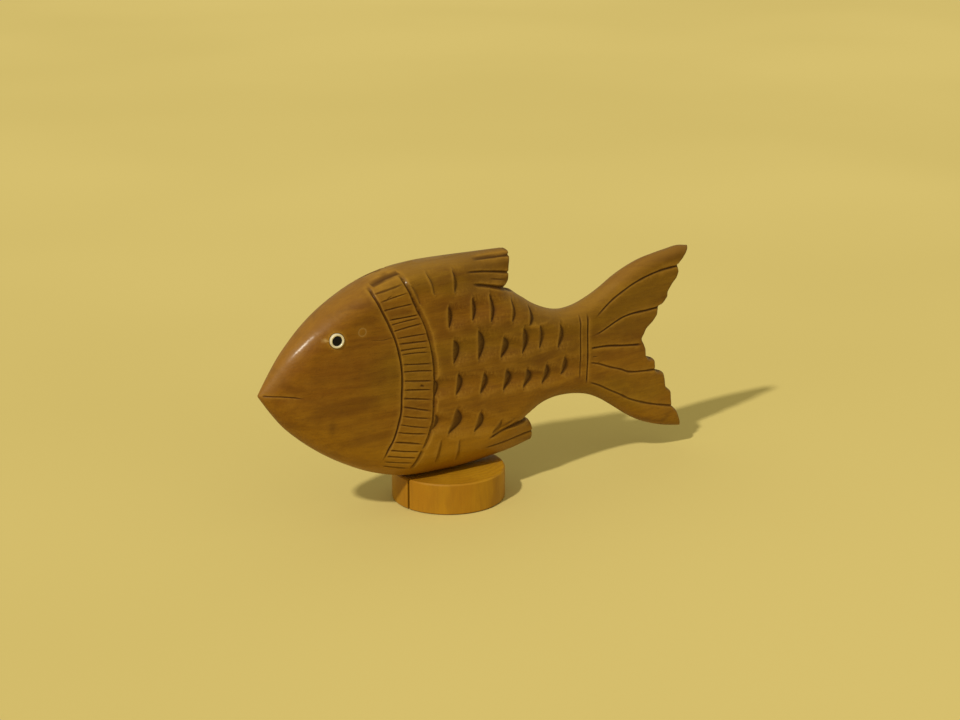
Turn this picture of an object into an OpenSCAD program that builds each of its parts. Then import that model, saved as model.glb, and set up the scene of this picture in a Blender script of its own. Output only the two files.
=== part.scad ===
// Carved wooden fish on a round stand, with inlaid eyes.
// The origin is the centre of the stand's underside. +X runs to the tail, -X to the nose, +Z up.
// The fish is upright over the stand, and its thickness runs along Y, so the left side faces -Y.

/* [Fish] */
// Length from the nose to the tips of the tail
fish_length = 300; // [240:1:360]
// Thickness of the body where it is fullest
body_thickness = 36; // [28:1:46]
// Width of the rounding along the forehead and the back
back_rounding = 12; // [6:0.5:16]
// Width of the rounding under the belly
belly_rounding = 17; // [8:0.5:20]
// Width of the rounding at the cut rear edges of the fins and the tail
cut_edge_rounding = 2.4; // [1:0.1:4]

/* [Eyes] */
// Outer diameter of the pale ring
eye_ring_diameter = 8.6; // [6:0.1:12]
// Diameter of the dark pupil inside the ring
pupil_diameter = 5.8; // [3:0.1:8]
// Depth of the drilled eye socket
socket_depth = 4; // [2:0.5:6]
// How far the ring stands proud of the head
eye_proud = 0.4; // [0.1:0.1:1]

/* [Stand] */
// Diameter of the round block
stand_diameter = 68; // [50:1:90]
// Height of the block, which is also where the belly rests
stand_height = 19; // [12:0.5:30]
// Rounding of the block's top and bottom rims
stand_edge = 0.8; // [0.2:0.1:2]
// Width of the drying crack at the rim
crack_width = 1.8; // [0.4:0.1:3]
// Length of the drying crack from the rim inwards
crack_length = 17; // [5:1:19]

/* [Screws] */
// Length of each wood screw
screw_length = 38; // [25:1:50]
// Diameter of the thread and of the smooth shank
screw_diameter = 4; // [3:0.5:5]
// Diameter of the countersunk head
screw_head_diameter = 8; // [6:0.5:10]
// Distance between the two screws
screw_spacing = 20; // [10:1:24]

/* [Hidden] */
$fn = 96;

body_brown = [0.46, 0.30, 0.10];
stand_yellow = [0.66, 0.44, 0.10];
ring_white = [0.93, 0.91, 0.84];
pupil_black = [0.02, 0.02, 0.02];
screw_steel = [0.70, 0.70, 0.72];

// The fish is drawn at this length and scaled to fish_length.
drawn_length = 300;
grow = fish_length / drawn_length;

// Outline of the middle plane as [x, height above the belly], x from the stand's axis.
back_line = [[-124, 65.8], [-118, 74.4], [-110, 85.2], [-100, 95.8], [-90, 104.2], [-80, 111],
             [-70, 116.5], [-55, 123], [-40, 126.9], [-20, 129.1], [0, 129.5], [20, 129.5], [38, 129.3]];
dorsal_rear = [[39.1, 128.9], [39.9, 127.4], [39.6, 123.5], [38.8, 117.5], [38, 112]];
rear_back_line = [[37.7, 107.2], [50, 98.4], [60, 92.2], [70, 87.5], [80, 85.4], [90, 86.3], [100, 89.6]];
tail_top_line = [[100, 89.6], [110, 94.5], [120, 100.6], [130, 105.4], [140, 108.9], [150, 111],
                 [160, 112.7], [168, 113.8], [175.6, 112.9]];
belly_line = [[-124, 64.2], [-118, 55.3], [-110, 44.8], [-100, 35], [-90, 26.9], [-80, 20],
              [-70, 14.2], [-60, 9.2], [-50, 5.3], [-40, 2.5], [-28, 0.5], [-16, 0], [0, 0.1],
              [12, 0.8], [25, 1.8], [35, 2.6], [45, 4], [54.6, 6]];
anal_rear = [[55.9, 6.9], [56.4, 9.4], [55.9, 14.8], [54.5, 19.2]];
rear_belly_line = [[53, 23.2], [60, 27.4], [70, 30.4], [80, 31], [90, 30.1], [100, 27.7]];
tail_bottom_line = [[100, 27.7], [110, 23], [120, 16.4], [130, 9.4], [140, 3.6], [150, -0.5],
                    [160, -3.5], [173.6, -6.2]];
// Ragged trailing edge of the tail, as [height, x], from the upper tip to the lower one.
tail_edge = [[112.9, 175.6], [108.5, 173.6], [105, 170.8], [101.5, 167.2], [97.5, 168], [93.4, 166.3],
             [90, 162.7], [85.5, 159.2], [82.5, 159], [78.5, 155.2], [76.4, 151.5], [72, 150.7],
             [68, 147.2], [64.2, 142], [61, 140.2], [58.8, 138.6], [56, 140.2], [52, 142],
             [47.5, 142.4], [45, 144.6], [43.3, 149.6], [39, 150.3], [35.8, 150.8], [33.3, 157.2],
             [29, 158.8], [23.5, 159.9], [19.6, 164.2], [14.5, 164.9], [9.5, 165.7], [5, 169.8],
             [-0.5, 172.2], [-6.2, 173.6]];

// Half thickness of the body along x, for a body 36 thick.
drawn_thickness = 36;
half_along_x = [[-124, 2.2], [-118, 6], [-110, 9.4], [-100, 12.2], [-88, 14.4], [-72, 16.2],
                [-50, 17.5], [-20, 18], [20, 17.6], [45, 15.6], [70, 12.4], [90, 10.3],
                [110, 9.2], [130, 7.8], [150, 6], [175, 3.4]];
// The fins thin towards their rear edges: x and height between which the thinning comes in,
// and x between which it goes out again.
dorsal_thinning = 0.5;
dorsal_in_x = [-20, 40];
dorsal_in_height = [93, 121];
dorsal_out_x = [50, 60];
anal_thinning = 0.42;
anal_in_x = [15, 56];
anal_in_height = [27, 11];
anal_out_x = [62, 70];
blunt_edge = 0.5;
// Heights between which the belly's rounding turns into the back's
rounding_change = [40, 90];
// A rounding is never wider than this share of the half thickness, plus this much.
rounding_share = 0.95;
rounding_extra = 1;

// Where the ribs of the surface stand: x of their upper ends, front to back, and the places
// on the belly where each group of ribs ends. A rib by a cut edge bows towards the head.
lean_start = -24;
front_rib_x = [-124, -123, -121, -118, -114, -110, -105, -100, -94, -88, -82, -76, -70, -63, -56,
               -48, -40, -32, -24, -16, -8, 0, 8, 16, 23, 29, 33, 36, 38];
front_rib_end = 16;
dorsal_rib_end = 26;
middle_rib_top = 41;
middle_rib_count = 6;
rear_rib_start = 60;
rear_rib_count = 10;
tail_rib_count = 12;
tail_root = 100;
upper_bow = 8;
upper_bow_end = 36;
lower_bow = 14;
bow_easing = 0.2;
// Makes the deepest point of a bow equal to its given depth
bow_peak = 27 / 4;
// How far the ribs of the tail even out towards the trailing edge
tail_evening = 0.75;
// Number of strips across the fish from the back to the belly
strips = 44;

// Eyes: place on the head and the turn that lays them along the tapering side.
eye_x = -81.5;
eye_height = 94.5;
eye_half = 15.2;
eye_turn = 7;
pupil_dome = 0.4;

// How far a cut reaches past the surface it opens
past = 2;
countersink_depth = 0.6;
screw_clearance = 0.2;
head_height = (screw_head_diameter - screw_diameter) / 2;
thread_pitch = 2;
thread_depth = 0.7;
// Shares of a turn at which the thread's root ends and its crest begins
thread_root_end = 0.3;
thread_crest_start = 0.9;
screw_tip = 5;
screw_tip_blunt = 0.5;
slot_depth = 1.3;
slot_width = 0.9;
slot_length = 4.6;
crack_angle = 195;
crack_tip = 0.2;

// ---- curves ----
function between(a, b, t) = a + (b - a) * t;
function ease(x, a, b) = let (t = min(max((x - a) / (b - a), 0), 1)) t * t * (3 - 2 * t);
function ease_over(x, span) = ease(x, span[0], span[1]);
function rise(p, i) = (p[i + 1].y - p[i].y) / (p[i + 1].x - p[i].x);
function knot_rise(p, i) =
    i == 0 ? rise(p, 0) :
    i == len(p) - 1 ? rise(p, i - 1) :
    let (a = p[i].x - p[i - 1].x, b = p[i + 1].x - p[i].x)
    (rise(p, i - 1) * b + rise(p, i) * a) / (a + b);
function knot_before(p, x, i = 0) =
    (i >= len(p) - 2 || x < p[i + 1].x) ? i : knot_before(p, x, i + 1);
// Smooth height of a line of knots at x
function line_at(p, x) =
    let (i = knot_before(p, x), w = p[i + 1].x - p[i].x, t = (x - p[i].x) / w,
         m = knot_rise(p, i) * w, n = knot_rise(p, i + 1) * w)
    p[i].y * (1 + t * t * (2 * t - 3)) + m * t * (1 - t) * (1 - t)
    + p[i + 1].y * t * t * (3 - 2 * t) - n * t * t * (1 - t);
function on_line(p, x) = [x, line_at(p, x)];

// ---- ribs: [point on the back, point on the belly, bow near the back, bow near the belly] ----
function leaning(x) =
    x < lean_start ? x
    : between(lean_start, front_rib_end, (x - lean_start) / (back_line[len(back_line) - 1].x - lean_start));
function bow_down(xb) = lower_bow * ease(xb, lean_start, rear_belly_line[0].x);
front_ribs = [for (x = front_rib_x) let (xb = leaning(x))
    [on_line(back_line, x), on_line(belly_line, xb),
     upper_bow * ease(x, lean_start, upper_bow_end), bow_down(xb)]];
dorsal_ribs = [for (i = [0 : len(dorsal_rear) - 1])
    let (xb = between(front_rib_end, dorsal_rib_end, (i + 1) / len(dorsal_rear)))
    [dorsal_rear[i], on_line(belly_line, xb), upper_bow, bow_down(xb)]];
belly_end = belly_line[len(belly_line) - 1];
middle_ribs = [for (i = [0 : middle_rib_count - 1])
    let (xb = between(dorsal_rib_end, belly_end.x, (i + 1) / (middle_rib_count + 1)))
    [on_line(rear_back_line, between(rear_back_line[0].x, middle_rib_top, i / middle_rib_count)),
     on_line(belly_line, xb), upper_bow * (1 - i / middle_rib_count), bow_down(xb)]];
anal_corner = concat([belly_end], anal_rear);
anal_ribs = [for (i = [0 : len(anal_corner) - 1])
    [on_line(rear_back_line, between(middle_rib_top, rear_rib_start, i / len(anal_corner))),
     anal_corner[i], 0, lower_bow - bow_easing * i]];
rear_ribs = [for (i = [0 : rear_rib_count]) let (t = i / rear_rib_count)
    [on_line(rear_back_line, between(rear_rib_start, tail_root, t)),
     on_line(rear_belly_line, between(rear_belly_line[0].x, tail_root, t)), 0, 0]];
body_ribs = concat(front_ribs, dorsal_ribs, middle_ribs, anal_ribs, rear_ribs);

// Places across the fish: close together near the rounded edges
function cosine_place(j) = (1 - cos(180 * j / strips)) / 2;
function tail_place(j, t) = between(cosine_place(j), j / strips, tail_evening * t);
function bowed(rib, s) =
    between(rib[0], rib[1], s) - [bow_peak * s * (1 - s) * (rib[2] * (1 - s) + rib[3] * s), 0];
function rib_row(rib) = [for (j = [0 : strips]) bowed(rib, cosine_place(j))];
rows_of_body = [for (rib = body_ribs) rib_row(rib)];

// The tail spreads from the straight rib at its root to the ragged trailing edge.
tail_upper_tip = [tail_edge[0].y, tail_edge[0].x];
tail_lower_tip = [tail_edge[len(tail_edge) - 1].y, tail_edge[len(tail_edge) - 1].x];
function edge_point(s) =
    let (h = between(tail_upper_tip.y, tail_lower_tip.y, s),
         up = [for (i = [len(tail_edge) - 1 : -1 : 0]) tail_edge[i]])
    [lookup(h, up), h];
function root_point(s) =
    [tail_root, between(line_at(tail_top_line, tail_root), line_at(tail_bottom_line, tail_root), s)];
function tail_point(s, t) =
    let (upper = on_line(tail_top_line, between(tail_root, tail_upper_tip.x, t)),
         lower = on_line(tail_bottom_line, between(tail_root, tail_lower_tip.x, t)),
         corners = between(between(root_point(0), edge_point(0), t),
                           between(root_point(1), edge_point(1), t), s))
    between(upper, lower, s) + between(root_point(s), edge_point(s), t) - corners;
rows_of_tail = [for (i = [1 : tail_rib_count]) let (t = i / tail_rib_count)
    [for (j = [0 : strips]) tail_point(tail_place(j, t), t)]];
rows = concat(rows_of_body, rows_of_tail);
last_row = len(rows) - 1;

// ---- thickness ----
// Edges with the wide rounding, and the cut edges of the fins and the tail
first_cut = len(front_ribs) - 1;
last_cut = first_cut + len(dorsal_ribs) + 1;
first_low_cut = last_cut + len(middle_ribs);
last_low_cut = first_low_cut + len(anal_ribs);
function is_soft_top(i) = i < first_cut || i >= last_cut;
function is_soft_bottom(i) = i < first_low_cut || i >= last_low_cut;
function row_end(i, j) = rows[i][j];
soft_edges = [for (i = [0 : last_row - 1]) each [
    if (is_soft_top(i)) [row_end(i, 0), row_end(i + 1, 0)],
    if (is_soft_bottom(i)) [row_end(i, strips), row_end(i + 1, strips)]]];
cut_edges = [for (i = [0 : last_row - 1]) each [
    if (!is_soft_top(i)) [row_end(i, 0), row_end(i + 1, 0)],
    if (!is_soft_bottom(i)) [row_end(i, strips), row_end(i + 1, strips)]]];
trailing_edges = [for (j = [0 : strips - 1]) [row_end(last_row, j), row_end(last_row, j + 1)]];
function reach(p, e) =
    let (d = e[1] - e[0], t = min(max(((p - e[0]) * d) / (d * d), 0), 1)) norm(p - e[0] - t * d);
function nearest(p, edges) = min([for (e = edges) reach(p, e)]);
function full_half(p) =
    let (upper = ease_over(p.x, dorsal_in_x) * ease_over(p.y, dorsal_in_height)
             * (1 - ease_over(p.x, dorsal_out_x)),
         lower = ease_over(p.x, anal_in_x) * ease_over(p.y, anal_in_height)
             * (1 - ease_over(p.x, anal_out_x)))
    lookup(p.x, half_along_x) * body_thickness / drawn_thickness
    * (1 - dorsal_thinning * upper) * (1 - anal_thinning * lower);
function half_at(p) =
    let (full = full_half(p),
         wide = min(between(belly_rounding, back_rounding, ease_over(p.y, rounding_change)),
                    rounding_share * full + rounding_extra),
         soft = nearest(p, soft_edges) / wide,
         cut = nearest(p, concat(cut_edges, trailing_edges)) / cut_edge_rounding,
         q = min(soft, cut, 1))
    max(full * sqrt(1 - (1 - q) * (1 - q)), blunt_edge);

function placed(p, y) = [p.x * grow, y, p.y * grow + stand_height];
// One closed ring of points round each row: down the left side, then up the right side
function ring(row) =
    let (half = [for (j = [1 : strips - 1]) half_at(row[j])])
    concat([placed(row[0], 0)],
           [for (j = [1 : strips - 1]) placed(row[j], -half[j - 1])],
           [placed(row[strips], 0)],
           [for (j = [strips - 1 : -1 : 1]) placed(row[j], half[j - 1])]);
ring_size = 2 * strips;
function ring_cap(start) = concat(
    [[start, start + ring_size - 1, start + 1]],
    [for (j = [1 : strips - 2]) each
        [[start + j, start + ring_size - j, start + ring_size - j - 1],
         [start + j, start + ring_size - j - 1, start + j + 1]]],
    [[start + strips - 1, start + strips + 1, start + strips]]);
function flipped(faces) = [for (f = faces) [f[2], f[1], f[0]]];

module carved_block() {
    rings = [for (row = rows) each ring(row)];
    sides = [for (i = [0 : last_row - 1]) for (j = [0 : ring_size - 1])
        let (a = i * ring_size + j, b = i * ring_size + (j + 1) % ring_size,
             c = a + ring_size, d = b + ring_size)
        each [[a, b, d], [a, d, c]]];
    caps = concat(flipped(ring_cap(0)), ring_cap(last_row * ring_size));
    polyhedron(points = rings, faces = concat(sides, caps));
}

// Puts children at an eye, with +Z pointing out of the head. side is -1 for left and 1 for right.
module at_eye(side) {
    translate([eye_x * grow, side * eye_half * body_thickness / drawn_thickness,
               eye_height * grow + stand_height])
        rotate([0, 0, side * eye_turn])
            rotate([-side * 90, 0, 0])
                children();
}

// Puts children at each screw, with the origin on the stand's underside.
module at_screw(place) {
    translate([place * screw_spacing / 2, 0, 0])
        children();
}

module fish_body() {
    color(body_brown)
        difference() {
            carved_block();
            for (side = [-1, 1])
                at_eye(side)
                    translate([0, 0, -socket_depth])
                        cylinder(h = socket_depth + past, d = eye_ring_diameter);
            for (place = [-1, 1])
                at_screw(place)
                    translate([0, 0, stand_height - past])
                        cylinder(h = screw_length + countersink_depth - stand_height + past,
                                 d = screw_diameter);
        }
}

// A ring with a rounded face, turned about the eye's own axis
module eye_ring() {
    outer = eye_ring_diameter / 2;
    inner = pupil_diameter / 2;
    crown = (outer - inner) / 2;
    color(ring_white)
        rotate_extrude()
            union() {
                translate([inner, -socket_depth])
                    square([outer - inner, socket_depth + eye_proud]);
                translate([(outer + inner) / 2, eye_proud])
                    intersection() {
                        circle(r = crown, $fn = 24);
                        translate([-crown, 0])
                            square([2 * crown, crown]);
                    }
            }
}

// A dark plug with a domed face that fills the ring
module eye_pupil() {
    radius = pupil_diameter / 2;
    sphere_radius = (radius * radius + pupil_dome * pupil_dome) / (2 * pupil_dome);
    color(pupil_black)
        rotate_extrude()
            union() {
                translate([0, -socket_depth])
                    square([radius, socket_depth + eye_proud]);
                intersection() {
                    translate([0, eye_proud + pupil_dome - sphere_radius])
                        circle(r = sphere_radius, $fn = 128);
                    translate([0, eye_proud])
                        square([radius, pupil_dome]);
                }
            }
}

module left_eye_ring() {
    at_eye(-1) eye_ring();
}

module right_eye_ring() {
    at_eye(1) eye_ring();
}

module left_eye_pupil() {
    at_eye(-1) eye_pupil();
}

module right_eye_pupil() {
    at_eye(1) eye_pupil();
}

// Turned block with eased rims, a drying crack and two countersunk holes
module stand_block() {
    radius = stand_diameter / 2;
    color(stand_yellow)
        difference() {
            rotate_extrude($fn = 180)
                polygon([[0, 0], [radius - stand_edge, 0], [radius, stand_edge],
                         [radius, stand_height - stand_edge], [radius - stand_edge, stand_height],
                         [0, stand_height]]);
            rotate([0, 0, crack_angle])
                translate([0, 0, -past])
                    linear_extrude(stand_height + 2 * past)
                        polygon([[radius - crack_length, -crack_tip / 2],
                                 [radius + past, -crack_width / 2],
                                 [radius + past, crack_width / 2],
                                 [radius - crack_length, crack_tip / 2]]);
            for (place = [-1, 1])
                at_screw(place) {
                    translate([0, 0, -past])
                        cylinder(h = stand_height + 2 * past, d = screw_diameter + 2 * screw_clearance);
                    translate([0, 0, -past])
                        cylinder(h = past + countersink_depth, d = screw_head_diameter);
                    translate([0, 0, countersink_depth])
                        cylinder(h = head_height, d1 = screw_head_diameter, d2 = screw_diameter);
                }
        }
}

// Countersunk wood screw, point up, with ring-shaped threads and a cross slot
module wood_screw() {
    radius = screw_diameter / 2;
    thread_start = stand_height + 1;
    thread_end = countersink_depth + screw_length - screw_tip;
    turns = floor((thread_end - thread_start) / thread_pitch);
    color(screw_steel)
        difference() {
            rotate_extrude($fn = 48)
                polygon(concat(
                    [[0, countersink_depth], [screw_head_diameter / 2, countersink_depth],
                     [radius, countersink_depth + head_height], [radius, thread_start]],
                    [for (i = [0 : turns - 1]) each
                        [[radius - thread_depth, thread_start + (i + thread_root_end) * thread_pitch],
                         [radius, thread_start + (i + thread_crest_start) * thread_pitch],
                         [radius, thread_start + (i + 1) * thread_pitch]]],
                    [[radius - thread_depth, thread_end],
                     [0, countersink_depth + screw_length - screw_tip_blunt]]));
            for (turn = [0, 90])
                rotate([0, 0, turn])
                    translate([-slot_length / 2, -slot_width / 2, countersink_depth - past])
                        cube([slot_length, slot_width, slot_depth + past]);
        }
}

module front_screw() {
    at_screw(-1) wood_screw();
}

module rear_screw() {
    at_screw(1) wood_screw();
}

fish_body();
left_eye_ring();
left_eye_pupil();
right_eye_ring();
right_eye_pupil();
stand_block();
front_screw();
rear_screw();
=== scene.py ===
"""A carved wooden fish on a round stand, in the frame of the CAD model.

Shapes are worked out in millimetres, as (x, height above the belly) on the fish's side, and
placed in metres. +X runs to the tail, the side that the camera sees faces -Y, and +Z is up.
"""

import math
from collections import namedtuple

import bpy
import numpy as np
from mathutils import Matrix, Vector
from mathutils.geometry import delaunay_2d_cdt


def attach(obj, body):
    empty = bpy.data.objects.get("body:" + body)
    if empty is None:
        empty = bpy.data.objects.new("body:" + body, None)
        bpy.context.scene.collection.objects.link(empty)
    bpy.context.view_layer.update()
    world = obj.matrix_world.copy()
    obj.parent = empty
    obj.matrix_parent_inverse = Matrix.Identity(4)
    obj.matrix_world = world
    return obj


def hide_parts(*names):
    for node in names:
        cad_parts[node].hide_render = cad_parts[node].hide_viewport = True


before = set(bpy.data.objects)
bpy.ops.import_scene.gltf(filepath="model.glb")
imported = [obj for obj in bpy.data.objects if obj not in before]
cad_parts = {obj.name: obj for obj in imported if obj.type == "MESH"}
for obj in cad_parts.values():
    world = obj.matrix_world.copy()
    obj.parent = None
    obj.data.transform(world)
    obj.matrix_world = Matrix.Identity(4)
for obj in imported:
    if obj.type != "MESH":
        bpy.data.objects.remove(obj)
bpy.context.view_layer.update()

MM = 0.001
LEFT, RIGHT = -1, 1

# ---- camera, lamp, air and floor ----
CAMERA_PLACE = (-0.5818, -0.9669, 0.4346)
CAMERA_FORWARD = (0.506, 0.810, -0.296)
CAMERA_RIGHT = (0.848, -0.530, 0.0)
CAMERA_LENS = 75
SENSOR_WIDTH = 36
CAMERA_REACH = 60

LAMP_DIRECTION = (-0.663, -0.309, 0.682)
LAMP_SPREAD = 0.05
LAMP_STRENGTH = 2.5
LAMP_COLOUR = (1.0, 0.95, 0.80)
AIR_COLOUR = (1.0, 0.92, 0.58)
AIR_STRENGTH = 0.50
FLOOR_HALF = 9.0


def add_camera():
    data = bpy.data.cameras.new("camera")
    data.lens = CAMERA_LENS
    data.sensor_width = SENSOR_WIDTH
    data.clip_end = CAMERA_REACH
    camera = bpy.data.objects.new("camera", data)
    forward = Vector(CAMERA_FORWARD).normalized()
    right = Vector(CAMERA_RIGHT).normalized()
    turn = Matrix((right, right.cross(forward), -forward)).transposed().to_4x4()
    camera.matrix_world = Matrix.Translation(CAMERA_PLACE) @ turn
    bpy.context.scene.collection.objects.link(camera)
    bpy.context.scene.camera = camera


def add_lamp():
    """An even light from one side, with slightly soft shadows."""
    data = bpy.data.lights.new("key", "SUN")
    data.angle = LAMP_SPREAD
    data.energy = LAMP_STRENGTH
    data.color = LAMP_COLOUR
    lamp = bpy.data.objects.new("key", data)
    turn = (-Vector(LAMP_DIRECTION)).to_track_quat("-Z", "Y")
    lamp.matrix_world = turn.to_matrix().to_4x4()
    bpy.context.scene.collection.objects.link(lamp)


def add_air():
    world = bpy.data.worlds.new("air")
    world.use_nodes = True
    background = world.node_tree.nodes["Background"]
    background.inputs["Color"].default_value = (*AIR_COLOUR, 1)
    background.inputs["Strength"].default_value = AIR_STRENGTH
    bpy.context.scene.world = world


# ---- node materials ----
class Paint:
    """A node material, with short calls for the nodes that the recipes below use."""

    def __init__(self, name):
        self.material = bpy.data.materials.new(name)
        self.material.use_nodes = True
        self.tree = self.material.node_tree
        self.shader = self.tree.nodes["Principled BSDF"]
        self.place = self.tree.nodes.new("ShaderNodeTexCoord").outputs["Object"]

    def set(self, socket, value):
        """Puts a node's result, a colour or a number into a socket."""
        if isinstance(value, bpy.types.NodeSocket):
            self.tree.links.new(value, socket)
        elif isinstance(value, tuple) and socket.type == "RGBA":
            socket.default_value = (*value, 1)
        else:
            socket.default_value = value

    def finish(self, **sockets):
        """Fills the main shader's sockets, named with _ for a space."""
        for name, value in sockets.items():
            self.set(self.shader.inputs[name.replace("_", " ")], value)
        return self.material

    def stretched(self, scale, place=None):
        node = self.tree.nodes.new("ShaderNodeMapping")
        self.set(node.inputs["Vector"], place or self.place)
        node.inputs["Scale"].default_value = scale
        return node.outputs["Vector"]

    def noise(self, scale, detail=2.0, rough=0.5, warp=0.0, place=None):
        """Noise from 0 to 1. scale holds the features per metre along x, y and z."""
        node = self.tree.nodes.new("ShaderNodeTexNoise")
        self.set(node.inputs["Vector"], self.stretched(scale, place))
        node.inputs["Scale"].default_value = 1.0
        node.inputs["Detail"].default_value = detail
        node.inputs["Roughness"].default_value = rough
        node.inputs["Distortion"].default_value = warp
        return node.outputs["Fac"]

    def math(self, kind, a, b=0.0, clamp=False):
        node = self.tree.nodes.new("ShaderNodeMath")
        node.operation = kind
        node.use_clamp = clamp
        self.set(node.inputs[0], a)
        self.set(node.inputs[1], b)
        return node.outputs["Value"]

    def span(self, value, low, high, out_low=0.0, out_high=1.0, smooth=True):
        """Maps low..high of a value to out_low..out_high, held at the ends."""
        node = self.tree.nodes.new("ShaderNodeMapRange")
        node.interpolation_type = "SMOOTHSTEP" if smooth else "LINEAR"
        self.set(node.inputs["Value"], value)
        node.inputs["From Min"].default_value = low
        node.inputs["From Max"].default_value = high
        node.inputs["To Min"].default_value = out_low
        node.inputs["To Max"].default_value = out_high
        return node.outputs["Result"]

    def mix(self, share, a, b, kind="MIX"):
        node = self.tree.nodes.new("ShaderNodeMix")
        node.data_type = "RGBA"
        node.blend_type = kind
        sockets = {socket.identifier: socket for socket in node.inputs}
        self.set(sockets["Factor_Float"], share)
        self.set(sockets["A_Color"], a)
        self.set(sockets["B_Color"], b)
        return next(socket for socket in node.outputs if socket.identifier == "Result_Color")

    def axis(self, letter, place=None):
        node = self.tree.nodes.new("ShaderNodeSeparateXYZ")
        self.set(node.inputs[0], place or self.place)
        return node.outputs[letter]

    def mark(self, name):
        """A number stored on the mesh's points."""
        node = self.tree.nodes.new("ShaderNodeAttribute")
        node.attribute_name = name
        return node.outputs["Fac"]

    def bump(self, height, strength, depth, under=None):
        node = self.tree.nodes.new("ShaderNodeBump")
        node.inputs["Strength"].default_value = strength
        node.inputs["Distance"].default_value = depth
        self.set(node.inputs["Height"], height)
        if under is not None:
            self.set(node.inputs["Normal"], under)
        return node.outputs["Normal"]


def fish_wood():
    """Varnished brown wood with its grain along the fish, darker where the tools cut from stain and
    painted shade, with painted bounce light low down, painted shade by the dorsal fin, a painted sheen
    along the back and painted highlights on raised edges.
    """
    p = Paint("fish_wood")
    x = p.axis("X")
    z = p.axis("Z")
    drift = p.noise((7, 20, 24), 2, 0.5)
    fibre = p.noise((45, 700, 700), 4, 0.6, 0.3)
    streak = p.noise((14, 150, 150), 3, 0.55, 0.8)
    pore = p.noise((260, 3600, 3600), 1, 0.5)
    tone = p.span(streak, 0.3, 0.7, 0.0, 1.0)
    colour = p.mix(tone, (0.150, 0.055, 0.0022), (0.225, 0.098, 0.0040))
    red = p.math("MULTIPLY", p.span(x, -0.035, -0.115), p.span(z, 0.06, 0.10))
    colour = p.mix(p.math("MULTIPLY", red, 0.6), colour, (0.230, 0.088, 0.0050))
    # Painted bounce light from the floor: the lower body is lighter and yellower, broken up by a random
    # mottle
    floor_bounce_light = p.math("MULTIPLY", p.span(z, 0.085, 0.035), p.span(drift, 0.2, 0.7, 0.35, 1.0))
    colour = p.mix(p.math("MULTIPLY", floor_bounce_light, 0.75), colour, (0.330, 0.155, 0.0042))
    green = p.math("MULTIPLY", p.span(drift, 0.45, 0.62), p.span(x, -0.075, -0.045))
    colour = p.mix(p.math("MULTIPLY", green, 0.5), colour, (0.195, 0.108, 0.0034))
    stain = p.math("MULTIPLY", p.span(p.noise((22, 60, 75), 3, 0.6, 0.6), 0.5, 0.68), 0.5)
    colour = p.mix(stain, colour, (0.115, 0.040, 0.0022))
    colour = p.mix(p.span(fibre, 0.35, 0.75, 0.0, 0.30), colour, (0.105, 0.040, 0.0025))
    colour = p.mix(p.span(pore, 0.60, 0.72, 0.0, 0.35), colour, (0.07, 0.026, 0.0025))
    # Painted shade on the dorsal fin, where the surface turns away from the light
    fin_painted_shade = p.math("MULTIPLY", p.span(z, 0.118, 0.134), p.span(x, -0.005, 0.015))
    colour = p.mix(p.math("MULTIPLY", fin_painted_shade, 0.4), colour, (0.095, 0.036, 0.0025))
    # Painted bounce light from the floor: the lower body ahead of the tail is lighter and yellower
    low = p.math("MULTIPLY", p.span(z, 0.060, 0.030), p.span(x, 0.06, 0.03))
    colour = p.mix(p.math("MULTIPLY", low, 0.4), colour, (0.380, 0.185, 0.0040))
    # Painted sheen along the back, mixed with lighter wood there
    colour = p.mix(p.math("MULTIPLY", p.mark("crown"), 0.30), colour, (0.34, 0.175, 0.034))
    # Painted highlight on the raised edges of the cuts
    colour = p.mix(p.math("MULTIPLY", p.mark("edge_highlight"), 0.55), colour, (0.36, 0.185, 0.020))
    # Stain in the cuts, with painted shade on the scale walls and in the grooves
    colour = p.mix(p.math("MULTIPLY", p.mark("cut"), 0.88), colour, (0.036, 0.0100, 0.0010))
    colour = p.mix(p.mark("pale"), colour, (0.48, 0.33, 0.14))
    rough = p.span(p.noise((60, 160, 160), 3, 0.6), 0.25, 0.75, 0.42, 0.60)
    rough = p.math("ADD", rough, p.math("MULTIPLY", p.mark("cut"), 0.3), clamp=True)
    speckle = p.bump(p.noise((800, 1000, 1000), 2, 0.5), 0.32, 0.0003)
    ripple = p.bump(p.noise((150, 260, 260), 2, 0.5), 0.30, 0.0009, speckle)
    grain = p.bump(p.math("ADD", fibre, pore), 0.22, 0.00022, ripple)
    return p.finish(Base_Color=colour, Roughness=rough, Normal=grain, Coat_Weight=0.14,
                    Coat_Roughness=0.20, Specular_IOR_Level=0.14)


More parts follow.
